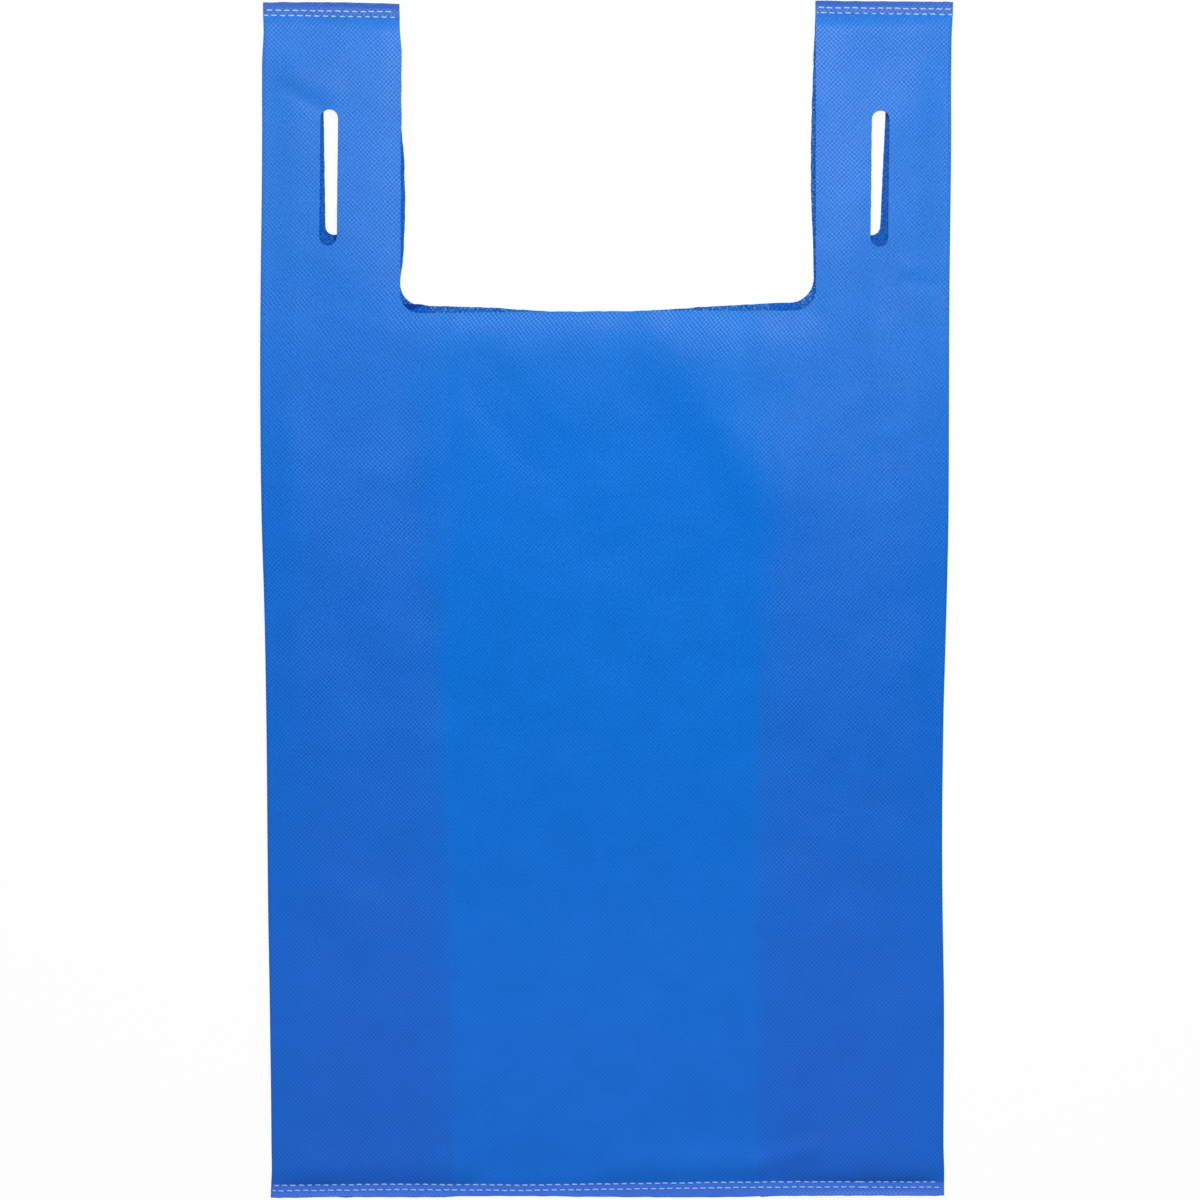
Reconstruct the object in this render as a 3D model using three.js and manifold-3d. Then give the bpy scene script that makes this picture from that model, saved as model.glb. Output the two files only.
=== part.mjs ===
// A non-woven T-shirt bag, lying flat with its front up.
//
// The bag is one sheet of spunbond cloth. It is folded into a tube with a pleat, the gusset, tucked into each side,
// and its two long edges are welded together at the inner fold of the gusset on +X, where nothing shows outside.
// The neck and a slot in each handle are punched through all the layers. Two rows of lockstitch close the bottom,
// and two rows close the top of each handle, so each handle is a loop of doubled cloth in front and behind.
//
// Millimetres. +Y runs up the bag to the handles and +Z points out of the front panel. The underside of the back
// panel lies in the plane z = 0. Heights in the code are measured from the bottom edge, and the group is centred.

import * as THREE from 'three';
import { mergeVertices } from 'three/addons/utils/BufferGeometryUtils.js';
import Module from 'manifold-3d';

const wasm = await Module();
wasm.setup();

// The tube, pressed flat
const bagHeight = 527; // bottom edge to the tops of the handles
const bagWidth = 305; // side fold to side fold, from the handles down to where the sides draw in
const bottomWidth = 297.5; // side fold to side fold near the bottom
const drawInTop = 316; // height at which the sides start to draw in
const drawInBottom = 153; // height below which the bag keeps its bottom width
const gussetDepth = 76; // side fold to the gusset's inner fold, where the bag is widest
const weldWidth = 6; // the fin where the sheet's two long edges are welded face to face

// The cloth and the air between its layers
const clothThickness = 0.45;
const layerGap = 0.45; // between two layers away from the seams
const pressedGap = 0.1; // between two layers where the stitches press them together
const edgeGap = 0.2; // between two layers at a sewn edge, where they splay a little
const openingLength = 16; // the distance from a seam over which the layers open to the full gap
const drapeLength = 14; // the front panel comes down to the back panel over this distance inside each gusset

// The neck and the slots, as punched in the two front layers
const handleWidth = 61; // side fold to the neck's edge
const neckDepth = 136.5; // handle tops to the neck's bottom edge
const neckCornerRadius = 10.5;
const slotWidth = 7.5;
const slotLength = 60.7; // end to end, over its round ends
const slotFromTop = 47; // handle top to the slot's upper end

// The two back layers lie a little higher and nearer the middle than the front ones
const backRise = 4.5; // how much higher their slots and the neck's corners are
const backSag = 3.5; // how far the middle of their neck edge dips below its corners
const backInset = 2; // how much nearer the middle their slots and the handles' edges are

// The stitching
const rowFromEdge = 3.3; // sewn edge to the outer row
const rowSpacing = 2.35; // outer row to inner row
const stitchLength = 3.7;
const threadWidth = 0.6;
const threadHeight = 0.45;
const threadClearance = 0.12; // all round the thread, in the line it pulls into the cloth
const threadPull = 0.4; // how far a needle hole pulls the thread below the top of a stitch
const threadProud = 0.3; // the top of a stitch above the cloth

const halfCloth = clothThickness / 2;
const innerRow = rowFromEdge + rowSpacing;
const seamMargin = threadWidth / 2 + 2 * threadClearance; // the pressed band reaches this far past its two rows
const seamStart = rowFromEdge - seamMargin;
const seamEnd = innerRow + seamMargin;
const foldSteps = 4; // facets round half a turn of cloth
const drapeSteps = 5;
const punchSteps = 8; // facets round each curve of a punched edge
const beyond = 5; // how far a cutting tool reaches past the cloth

const cloth = new THREE.MeshStandardMaterial({ color: 0x1f6cd4, roughness: 0.8, metalness: 0 });
const thread = new THREE.MeshStandardMaterial({ color: 0xe8edfa, roughness: 0.6, metalness: 0 });

// Solids

function solidOf(geometry) {
  const bare = new THREE.BufferGeometry();
  bare.setAttribute('position', geometry.getAttribute('position'));
  bare.setIndex(geometry.getIndex());
  const merged = mergeVertices(bare, 1e-4);
  const triVerts = Uint32Array.from(merged.getIndex().array);
  const vertProperties = merged.getAttribute('position').array;
  return new wasm.Manifold(new wasm.Mesh({ numProp: 3, vertProperties, triVerts }));
}

function meshOf(name, solid, material) {
  const { vertProperties, triVerts } = solid.getMesh();
  const geometry = new THREE.BufferGeometry();
  geometry.setAttribute('position', new THREE.BufferAttribute(vertProperties, 3));
  geometry.setIndex(new THREE.BufferAttribute(triVerts, 1));
  geometry.computeVertexNormals();
  const mesh = new THREE.Mesh(geometry, material);
  mesh.name = name;
  return mesh;
}

// Joins rings of points that all run the same way round, and closes the first and the last. A ring turns
// anticlockwise as seen looking back along the loft from its far end, and outline holds one ring in its own plane.
function loft(rings, outlines) {
  const count = rings[0].length;
  const index = [];
  for (let ring = 0; ring + 1 < rings.length; ring++) {
    for (let i = 0; i < count; i++) {
      const here = ring * count + i;
      const next = ring * count + ((i + 1) % count);
      index.push(here, next, here + count, next, next + count, here + count);
    }
  }
  const last = (rings.length - 1) * count;
  for (const [a, b, c] of THREE.ShapeUtils.triangulateShape(outlines[0], [])) index.push(a, c, b);
  for (const [a, b, c] of THREE.ShapeUtils.triangulateShape(outlines.at(-1), [])) {
    index.push(last + a, last + b, last + c);
  }
  const geometry = new THREE.BufferGeometry().setFromPoints(rings.flat());
  geometry.setIndex(index);
  return solidOf(geometry);
}

// A shape drawn in X and Z, drawn out along Y from one height to another.
function extrudeUpTheBag(shape, from, to) {
  const geometry = new THREE.ExtrudeGeometry(shape, { depth: to - from, bevelEnabled: false });
  return solidOf(geometry.rotateX(Math.PI / 2).translate(0, to, 0));
}

// A shape drawn in X and Y, as a punch that passes through every layer.
function punch(shape) {
  const depth = 3 * (clothThickness + layerGap) + clothThickness + 2 * beyond;
  const geometry = new THREE.ExtrudeGeometry(shape, { depth, bevelEnabled: false, curveSegments: punchSteps });
  return solidOf(geometry.translate(0, 0, -beyond));
}

// The folded sheet

function halfWidthAt(height) {
  const opened = THREE.MathUtils.smoothstep(height, drawInBottom, drawInTop);
  return THREE.MathUtils.lerp(bottomWidth, bagWidth, opened) / 2;
}

// The sheet keeps its girth, so a gusset is tucked deeper where the bag is narrower.
function gussetEdgeAt(height) {
  const tucked = bagWidth / 2 - halfWidthAt(height);
  return halfWidthAt(height) - gussetDepth - tucked;
}

// Distance from the middle of one layer to the middle of the next.
function pitchAt(height) {
  const fromEdge = Math.min(height, bagHeight - height);
  if (fromEdge < seamStart) {
    return clothThickness + THREE.MathUtils.lerp(edgeGap, pressedGap, fromEdge / seamStart);
  }
  const opened = THREE.MathUtils.smoothstep(fromEdge, seamEnd, seamEnd + openingLength);
  return clothThickness + THREE.MathUtils.lerp(pressedGap, layerGap, opened);
}

// Middle of a layer above z = 0. Layer 0 is the back panel, 1 and 2 are the gusset and 3 is the front panel over it.
function layerLevel(layer, pitch) {
  return halfCloth + layer * pitch;
}

// Where the front panel stops lying on the gusset, at its inner fold or at the end of the weld on +X.
function drapeStart(side, height) {
  return gussetEdgeAt(height) - (side > 0 ? weldWidth : 0);
}

// How many layers the front panel has come down by, from 0 on the gusset to 2 in the middle.
function drapeAt(x, height) {
  const inside = drapeStart(Math.sign(x), height) - Math.abs(x);
  return 2 * THREE.MathUtils.smoothstep(inside, 0, drapeLength);
}

// The x values at which the front panel's height changes, from -X to +X.
function drapeStops(height) {
  const fractions = Array.from({ length: drapeSteps + 1 }, (_, i) => i / drapeSteps);
  const left = fractions.map((fraction) => -drapeStart(-1, height) + fraction * drapeLength);
  const right = fractions.map((fraction) => drapeStart(1, height) - fraction * drapeLength).reverse();
  return [...left, ...right];
}

function frontLevel(x, height) {
  return layerLevel(3 - drapeAt(x, height), pitchAt(height));
}

// Half a turn of cloth between two layers, bulging towards side, from the lower layer to the upper one.
function fold(x, lowerLayer, side, pitch) {
  const points = [];
  for (let step = 0; step <= foldSteps; step++) {
    const angle = -Math.PI / 2 + (step / foldSteps) * Math.PI;
    const reach = side * Math.cos(angle) * (pitch / 2);
    points.push(new THREE.Vector2(x + reach, layerLevel(lowerLayer + 0.5, pitch) + Math.sin(angle) * (pitch / 2)));
  }
  return points;
}

// The middle of the cloth across the bag at one height, from one welded edge of the sheet round to the other.
function sheetLine(height) {
  const pitch = pitchAt(height);
  const half = halfWidthAt(height);
  const sideFold = half - pitch / 2 - halfCloth;
  const innerFold = gussetEdgeAt(height) + pitch / 2 + halfCloth;
  const weldEnd = gussetEdgeAt(height) - weldWidth;
  const point = (x, layer) => new THREE.Vector2(x, layerLevel(layer, pitch));
  return [
    point(weldEnd, 1),
    ...fold(sideFold, 0, 1, pitch).reverse(),
    ...fold(-sideFold, 0, -1, pitch),
    ...fold(-innerFold, 1, 1, pitch),
    ...fold(-sideFold, 2, -1, pitch),
    ...drapeStops(height).map((x) => new THREE.Vector2(x, frontLevel(x, height))),
    ...fold(sideFold, 2, 1, pitch).reverse(),
    point(weldEnd, 2),
  ];
}

// The line given the cloth's thickness: one face of the cloth, then back along the other.
function thicken(line) {
  const faces = [[], []];
  line.forEach((point, i) => {
    const before = line[Math.max(i - 1, 0)];
    const after = line[Math.min(i + 1, line.length - 1)];
    const arriving = point.equals(before) ? after.clone().sub(point) : point.clone().sub(before);
    const leaving = point.equals(after) ? arriving.clone() : after.clone().sub(point);
    const along = arriving.normalize().clone().add(leaving.normalize()).normalize();
    const across = new THREE.Vector2(-along.y, along.x);
    const mitre = halfCloth / Math.max(along.dot(arriving), 0.5);
    faces[0].push(point.clone().addScaledVector(across, -mitre));
    faces[1].push(point.clone().addScaledVector(across, mitre));
  });
  return [...faces[0], ...faces[1].reverse()];
}

function sheetHeights() {
  const thirds = [0, 1 / 3, 2 / 3, 1];
  const opening = thirds.map((share) => seamEnd + share * openingLength);
  const nearEdge = [0, seamStart, ...opening];
  const drawIn = [0, 0.25, 0.5, 0.75, 1].map((share) => THREE.MathUtils.lerp(drawInBottom, drawInTop, share));
  const heights = [...nearEdge, ...drawIn, ...nearEdge.map((distance) => bagHeight - distance)];
  return [...new Set(heights)].sort((a, b) => a - b);
}

function foldedSheet() {
  const heights = sheetHeights();
  const outlines = heights.map((height) => thicken(sheetLine(height)));
  const rings = outlines.map((outline, i) => outline.map(({ x, y }) => new THREE.Vector3(x, heights[i], y)));
  return loft(rings.reverse(), outlines.reverse());
}

// The weld that closes the sheet into a tube. It fills the gap between the two edges of the sheet.
function weld() {
  const heights = sheetHeights();
  const outlines = heights.map((height) => {
    const pitch = pitchAt(height);
    const outer = gussetEdgeAt(height);
    const corners = [[outer - weldWidth, 1], [outer, 1], [outer, 2], [outer - weldWidth, 2]];
    return corners.map(([x, layer]) => new THREE.Vector2(x, layerLevel(layer, pitch)));
  });
  const rings = outlines.map((outline, i) => outline.map(({ x, y }) => new THREE.Vector3(x, heights[i], y)));
  return loft(rings.reverse(), outlines.reverse());
}

// The band along a sewn edge where the stitches hold every layer to the next.
function sewnBand(from, to) {
  const middle = (from + to) / 2;
  const side = halfWidthAt(middle) - pitchAt(middle) / 2;
  const shape = new THREE.Shape();
  shape.moveTo(-side, halfCloth);
  shape.lineTo(side, halfCloth);
  for (const x of [side, ...drapeStops(middle).reverse(), -side]) shape.lineTo(x, frontLevel(x, middle));
  return extrudeUpTheBag(shape, from, to);
}

// The punched edges

// One edge of the neck, bowed sideways or downwards where bow isn't 0.
function punchedEdge(shape, x, y, bowX, bowY) {
  const { x: fromX, y: fromY } = shape.currentPoint;
  if (bowX === 0 && bowY === 0) shape.lineTo(x, y);
  else shape.quadraticCurveTo((fromX + x) / 2 + 2 * bowX, (fromY + y) / 2 + 2 * bowY, x, y);
}

function neckShape(rise, sag, inset) {
  const side = bagWidth / 2 - handleWidth;
  const bottom = bagHeight - neckDepth + rise;
  const radius = neckCornerRadius;
  const seam = bagHeight - seamEnd;
  const shape = new THREE.Shape();
  shape.moveTo(-side, bagHeight + beyond);
  shape.lineTo(-side, seam);
  punchedEdge(shape, -side, bottom + radius, inset, 0);
  shape.absarc(-side + radius, bottom + radius, radius, Math.PI, 1.5 * Math.PI, false);
  punchedEdge(shape, side - radius, bottom, 0, -sag);
  shape.absarc(side - radius, bottom + radius, radius, 1.5 * Math.PI, 2 * Math.PI, false);
  punchedEdge(shape, side, seam, -inset, 0);
  shape.lineTo(side, bagHeight + beyond);
  return shape;
}

function slotShape(side, rise, inset) {
  const radius = slotWidth / 2;
  const x = side * (bagWidth / 2 - handleWidth / 2 - inset);
  const top = bagHeight - slotFromTop - radius + rise;
  const bottom = bagHeight - slotFromTop - slotLength + radius + rise;
  const shape = new THREE.Shape();
  shape.absarc(x, top, radius, 0, Math.PI, false);
  shape.absarc(x, bottom, radius, Math.PI, 2 * Math.PI, false);
  return shape;
}

// The space of the two front layers: above a surface that passes between the two halves of each gusset, and
// between the front and back panels in the middle.
function frontSpace() {
  const height = bagHeight - neckDepth;
  const pitch = pitchAt(height);
  const far = bagWidth / 2 + beyond;
  const above = layerLevel(3, pitch) + beyond;
  const shape = new THREE.Shape();
  shape.moveTo(-far, above);
  for (const x of [-far, ...drapeStops(height), far]) {
    shape.lineTo(x, layerLevel(1.5 - drapeAt(x, height) / 2, pitch));
  }
  shape.lineTo(far, above);
  return extrudeUpTheBag(shape, 0, bagHeight + beyond);
}

// What the punches take from the two front layers, and from the two back layers.
function punchedAway() {
  const front = [neckShape(0, 0, 0), slotShape(-1, 0, 0), slotShape(1, 0, 0)];
  const back = [
    neckShape(backRise, backSag, backInset),
    slotShape(-1, backRise, backInset),
    slotShape(1, backRise, backInset),
  ];
  const space = frontSpace();
  const fromFront = front.map((shape) => punch(shape).intersect(space));
  const fromBack = back.map((shape) => punch(shape).subtract(space));
  return [...fromFront, ...fromBack].reduce((all, one) => all.add(one));
}

// The stitching

// Each row runs along one height between two x values.
function stitchRows() {
  const rows = [
    { name: 'bottom_hem_thread_outer', fromEdge: rowFromEdge, side: 0 },
    { name: 'bottom_hem_thread_inner', fromEdge: innerRow, side: 0 },
  ];
  for (const [side, word] of [[-1, 'left'], [1, 'right']]) {
    rows.push({ name: `${word}_handle_thread_outer`, fromEdge: rowFromEdge, side });
    rows.push({ name: `${word}_handle_thread_inner`, fromEdge: innerRow, side });
  }
  return rows.map(({ name, fromEdge, side }) => {
    const height = side === 0 ? fromEdge : bagHeight - fromEdge;
    const outer = halfWidthAt(height) - threadClearance;
    const neck = bagWidth / 2 - handleWidth + threadClearance;
    const ends = side === 0 ? [-outer, outer] : [side * neck, side * outer];
    const [start, end] = ends.sort((a, b) => a - b);
    return { name, height, start, end };
  });
}

function clothTop(x, height) {
  return frontLevel(x, height) + halfCloth;
}

// The line that the thread pulls into the front of the cloth.
function pulledLine({ height, start, end }) {
  const reach = threadWidth / 2 + threadClearance;
  const depth = threadHeight + threadPull - threadProud + threadClearance;
  const stops = drapeStops(height).filter((x) => x > start && x < end);
  const across = [start - 1, ...stops, end + 1];
  const shape = new THREE.Shape();
  shape.moveTo(start - 1, clothTop(start, height) + beyond);
  for (const x of across) shape.lineTo(x, clothTop(x, height) - depth);
  shape.lineTo(end + 1, clothTop(end, height) + beyond);
  return extrudeUpTheBag(shape, height - reach, height + reach);
}

// The needle thread of one row: it lies on the cloth along each stitch and dips at each needle hole.
function needleThread({ height, start, end }) {
  const count = Math.round((end - start) / stitchLength);
  const length = (end - start) / count;
  const phases = [[0, 1], [0.2, 0], [0.8, 0]]; // share of a stitch, and the share of the pull there
  const crossSection = (x, pull) => {
    const top = clothTop(x, height) + threadProud - pull * threadPull;
    const middle = top - threadHeight / 2;
    return [
      new THREE.Vector3(x, height - threadWidth / 2, middle),
      new THREE.Vector3(x, height, middle - threadHeight / 2),
      new THREE.Vector3(x, height + threadWidth / 2, middle),
      new THREE.Vector3(x, height, top),
    ];
  };
  const rings = [];
  for (let stitch = 0; stitch < count; stitch++) {
    for (const [share, pull] of phases) rings.push(crossSection(start + (stitch + share) * length, pull));
  }
  rings.push(crossSection(end, 1));
  return loft(rings, rings.map((ring) => ring.map(({ y, z }) => new THREE.Vector2(y, z))));
}

// The bag

const rows = stitchRows();
const sewnBands = [sewnBand(seamStart, seamEnd), sewnBand(bagHeight - seamEnd, bagHeight - seamStart)];
const body = [weld(), ...sewnBands].reduce((all, one) => all.add(one), foldedSheet());
const cutAway = rows.map(pulledLine).reduce((all, one) => all.add(one), punchedAway());

const bag = new THREE.Group();
bag.name = 'non_woven_t_shirt_bag';
bag.position.y = -bagHeight / 2;
bag.add(meshOf('bag_body', body.subtract(cutAway), cloth));
for (const row of rows) bag.add(meshOf(row.name, needleThread(row), thread));

export default bag;
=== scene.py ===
"""The looks of a flat non-woven T-shirt bag: one folded sheet of spunbond cloth, closed with lockstitch.

Lengths are worked out in millimetres and become metres where a mesh or a lamp is made. x runs to the right
and height runs up the bag from its bottom edge, both as seen from the front, and z points out of the front.
"""
import math

import bpy
import numpy as np
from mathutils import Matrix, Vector
from mathutils.geometry import delaunay_2d_cdt
from mathutils.kdtree import KDTree


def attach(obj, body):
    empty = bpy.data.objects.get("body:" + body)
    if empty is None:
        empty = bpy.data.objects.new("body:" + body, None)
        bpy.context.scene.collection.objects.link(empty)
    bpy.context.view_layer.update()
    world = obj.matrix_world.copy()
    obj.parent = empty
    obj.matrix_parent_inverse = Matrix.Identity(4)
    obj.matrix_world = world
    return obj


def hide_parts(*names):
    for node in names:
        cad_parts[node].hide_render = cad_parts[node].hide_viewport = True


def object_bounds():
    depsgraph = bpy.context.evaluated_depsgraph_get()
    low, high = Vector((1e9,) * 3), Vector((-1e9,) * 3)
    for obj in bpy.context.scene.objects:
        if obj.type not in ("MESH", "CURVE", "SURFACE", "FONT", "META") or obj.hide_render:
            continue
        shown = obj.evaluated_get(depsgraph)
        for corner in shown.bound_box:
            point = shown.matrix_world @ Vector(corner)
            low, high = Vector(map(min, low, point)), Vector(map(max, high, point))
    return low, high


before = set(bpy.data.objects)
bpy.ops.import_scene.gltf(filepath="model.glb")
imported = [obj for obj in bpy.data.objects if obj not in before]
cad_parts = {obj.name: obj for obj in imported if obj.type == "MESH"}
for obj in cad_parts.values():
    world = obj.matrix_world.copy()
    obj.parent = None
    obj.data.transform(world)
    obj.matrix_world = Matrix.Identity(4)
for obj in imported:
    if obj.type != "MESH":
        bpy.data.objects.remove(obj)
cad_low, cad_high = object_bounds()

MM = 0.001
BAG_WIDTH = (cad_high[0] - cad_low[0]) / MM
BAG_HEIGHT = (cad_high[1] - cad_low[1]) / MM

# The photograph's frame
PIXEL = 0.4414  # millimetres a pixel at the bag
FRAME_PIXELS = 1200
BAG_CENTRE_PIXELS = (607.5, 599.4)
CAMERA_HEIGHT = 3000
SENSOR = 36

# The studio
FLOOR = -0.02  # just under the bag
FLOOR_REACH = 4000
FLOOR_GREY = 0.95
FLOOR_GLOW = 0.93  # how much of the floor the camera sees as plain white
WORLD_LIGHT = 0.48
KEY_PLACE = (60, 450, 850)
KEY_SIZE = 300
KEY_WATTS = 6.6

# The sheet
CLOTH = 0.45
WELD = 6
LAYER_GAP = 0.4
CENTRE_GAP = 0.5
PRESSED_GAP = 0.03
SEAM_LIFT = 0.55  # the hem is stiff, and its bobbin thread keeps it off the floor
SEAM_RISE = 9  # how far from the stitches the layers stand free again
CUT_PRESS = 0.8  # how much of the stitches' press is left at the cut edge
CUT_PRESS_REACH = 2.2
FOLD_REACH = 0.8  # half the cloth that goes round a fold
FOLD_INSET = 0.7  # how far inside its fold a layer's level is read
DRAPE = 16  # the front panel comes down to the back panel over this distance inside each gusset
SEWN_DRAPE = 6  # the same where the stitches hold it

# The sides, as how far each fold lies from the middle at these heights
LEFT_SIDE = [(0, 148.55), (3, 148.5), (7, 148.3), (11, 148.1), (20, 148.2), (43, 148.4), (87, 149.0),
             (131, 149.75), (153, 149.95), (219, 150.6), (263, 151.5), (294, 152.45), (356, 153.2),
             (413, 152.9), (440, 152.55), (471, 152.35), (490, 152.4), (502, 152.3), (514, 151.7),
             (522, 151.95), (BAG_HEIGHT, 152.0)]
RIGHT_SIDE = [(0, 148.5), (12, 148.5), (20, 148.25), (43, 148.3), (87, 148.4), (131, 147.75), (153, 147.6),
              (197, 147.95), (219, 148.35), (241, 149.0), (290, 150.25), (351, 150.65), (390, 150.75),
              (427, 151.15), (470, 151.6), (488, 151.55), (501, 151.65), (515, 151.9), (522, 152.35),
              (BAG_HEIGHT, 152.45)]
# How deep each gusset's fold lies, a little more where the bag is narrower
LEFT_DEPTH = [(0, 80.5), (150, 79.5), (219, 77.5), (370, 76.0), (395, 73.8), (BAG_HEIGHT, 73.5)]
RIGHT_DEPTH = [(0, 76.0), (150, 75.8), (395, 73.0), (BAG_HEIGHT, 73.5)]

# Cut edges: how far along x, and the height there
BOTTOM_EDGE = [(-150, -0.4), (-136, -0.2), (-128, 0), (-72, 0), (-64, 0.38), (-48, 0.3), (-28, 0.3),
               (-12, 0.1), (5, -0.08), (41, -0.2), (58, 0), (71, 0.37), (81, 0.6), (118, 0.64), (150, 0.55)]
TOP_EDGE = [(-153, 526.8), (-118, 526.8), (-100, 526.3), (-91, 526.0),
            (91, 527.6), (98, 527.45), (107, 527.25), (130, 527.15), (153, 527.0)]
# How far each layer's sewn edges lie off the front panel's, from the back panel to the front
BOTTOM_STAGGER = (-0.15, -0.25, -0.1, 0)
TOP_STAGGER = (0.1, -0.1, 0.15, 0)
# How ragged each kind of cut is, and the length of its waves
BOTTOM_RAGGED, BOTTOM_WAVE = 0.08, 9
TOP_RAGGED, TOP_WAVE = 0.07, 8
HANDLE_RAGGED, NECK_RAGGED, SLOT_RAGGED, CUT_WAVE = 0.1, 0.12, 0.05, 7

# The neck in each layer: its sides, the height of its bottom at each end, and the radius of its corners.
# lift moves the bottom up by x, and left and right move the upright edges towards +x by height.
NECK_BOTTOM = 390
NECK_REACH = 91.5  # half its width
CORNERS_END = (396, 402)  # where its corners have turned into the upright edges
STRAIGHT = [(0, 0), (BAG_HEIGHT, 0)]
NECKS = {
    3: dict(sides=(-91.4, 92.0), bottom=(389.6, 390.8), radius=(8.6, 9.8),
            lift=[(-82, 0), (-55, 0.22), (-25, 0.37), (0, 0.4), (25, 0.37), (55, 0.22), (82, 0)],
            left=[(396, 0), (413, 0.3), (466, 0.35), (473, 0.7), (506, 0.7), (515, -0.1), (523, -0.35)],
            right=[(396, 0), (404, -0.3), (520, -0.3), (BAG_HEIGHT, -0.1)]),
    2: dict(sides=(-92.4, 92.8), bottom=(390.3, 390.1), radius=(6.0, 6.0), right=STRAIGHT,
            lift=[(-88, 0), (-86.7, 0.6), (-80.8, 2.9), (66, 3.3), (73, 3.85), (83, 4.1), (86.5, 1.5),
                  (88, 0)],
            left=[(398, 0), (404.3, 1.0), (413, 2.2), (420, 2.6), (431, 3.0), (439.6, 3.2), (448, 2.95),
                  (457, 2.75), (466, 2.05), (473, 1.3), (482, 0.8), (BAG_HEIGHT, 0.4)]),
    1: dict(sides=(-93.0, 92.6), bottom=(393.9, 390.2), radius=(3.5, 6.0), left=STRAIGHT, right=STRAIGHT,
            lift=[(-82, 0), (-79.5, -0.7), (66, 3.2), (73, 3.7), (83, 3.8), (86.5, 0.4), (88, 0)]),
    0: dict(sides=(-91.6, 91.4), bottom=(393.1, 394.5), radius=(10.0, 11.0),
            lift=[(-82, 0), (-72, -0.3), (-60, -0.65), (-47, -1.3), (-30, -2.8), (-5, -4.2), (8, -4.1),
                  (21, -2.8), (32, -2.2), (43, -1.5), (63, -0.7), (72, -0.15), (82, 0)],
            left=[(396, 0), (413, 0.3), (466, 0.3), (480, 0.3), (506, 0.5), (515, -0.1), (523, -0.2)],
            right=[(394, 0), (398, -0.3), (404, -0.4), (413, -0.55), (420, -0.7), (431, -1.15),
                   (440, -1.5), (448, -1.75), (466, -1.55), (478, -1.4), (488, -0.9), (501, -0.65),
                   (515, 0.1), (523, 0.3)]),
}
# The slots in each layer: the middle of the slot, and how far its lower end leans towards +x
SLOT_WIDTH = 7.75
SLOT_LENGTH = 60.0
SLOTS = {
    3: dict(left=(-122.85, 449.3, -0.6), right=(119.98, 448.8, -0.75)),
    2: dict(left=(-121.6, 452.9, 0.4), right=(118.5, 452.6, -1.6)),
    1: dict(left=(-121.4, 453.8, 0.6), right=(118.1, 453.4, -2.3)),
    0: dict(left=(-121.0, 454.4, 0.9), right=(117.65, 454.2, -2.8)),
}

# The stitching: the outer row along each sewn edge, as x and height
BOTTOM_ROW = [(-150, 2.6), (-92, 3.2), (-39, 2.7), (80, 4.3), (150, 4.2)]
LEFT_ROW = [(-153, 523.5), (-91, 522.5)]
RIGHT_ROW = [(91, 524.6), (153, 523.8)]
ROW_SPACING = 2.37
BOTTOM_PITCH = 3.65
LAST_PITCH = 3.42  # of the stitches at the right end of the bottom hem
HANDLE_PITCH = 3.73
# Each row: the edge, which row, the line it follows and how far off it, and its runs of needle holes,
# as where a run starts, its pitch and its count
STITCH_ROWS = [
    ("bottom_hem", "outer", BOTTOM_ROW, 0,
     [(-148.3, BOTTOM_PITCH, 1), (-145.85, BOTTOM_PITCH, 71), (116.1, LAST_PITCH, 10)]),
    ("bottom_hem", "inner", BOTTOM_ROW, ROW_SPACING, [(-147.8, BOTTOM_PITCH, 71), (114.4, LAST_PITCH, 10)]),
    ("left_handle", "outer", LEFT_ROW, 0, [(-150.75, HANDLE_PITCH, 16)]),
    ("left_handle", "inner", LEFT_ROW, -ROW_SPACING, [(-152.5, HANDLE_PITCH, 17)]),
    ("right_handle", "outer", RIGHT_ROW, 0, [(92.4, HANDLE_PITCH, 17)]),
    ("right_handle", "inner", RIGHT_ROW, -ROW_SPACING, [(92.1, HANDLE_PITCH, 1), (93.3, HANDLE_PITCH, 17)]),
]
# The thread: two plies that wind round each other
PLY_RADIUS = 0.21
PLY_OFFSET = 0.18
PLY_TURN = 1.3  # length of thread in which the plies go once round
PLY_SIDES = 6
STITCH_PROUD = 0.2  # how far the middle of a stitch stands off the cloth
BOBBIN_PROUD = 0.1  # the same on the back
STITCH_SINK = 0.55  # how far its ends go down into the cloth
STITCH_ARCH = 2.4  # how flat the top of its arch is
STITCH_NUDGE = 0.12  # how far a stitch lies off its place at most
HOLE = 0.42  # how far from its needle hole a stitch starts

# Colours of the front panel over one layer and over three, in the middle of the bag and near its bottom;
# over three it is darker, as painted shade for the light that comes up through fewer layers
TWO_LAYERS = (0.0016, 0.147, 0.618)
TWO_LAYERS_LOW = (0.0105, 0.150, 0.668)
FOUR_LAYERS_PAINTED_SHADE = (0.0038, 0.108, 0.555)
FOUR_LAYERS_PAINTED_SHADE_LOW = (0.0105, 0.121, 0.605)
PAINTED_SHEEN = (0.024, 0.170, 0.615)  # painted sheen on the handles
PAINTED_SHEEN_MIDDLE = (0.016, 0.176, 0.628)  # the same painted sheen between them, under the neck
SHEEN_RIGHT_GIRTH = (722, 765)  # the girth over which the painted sheen on the front panel comes lower to the right
HEM_SHEEN_AND_SHADE = (0.042, 0.137, 0.505)  # painted sheen and shade on the sewn strip at the handles
HEM_LOW_SHEEN = (0.050, 0.172, 0.715)  # and painted sheen on it at the bottom
HEM_FROM = (0.9, -0.5)  # how far past the inner stitches that starts, and where it is full
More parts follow.
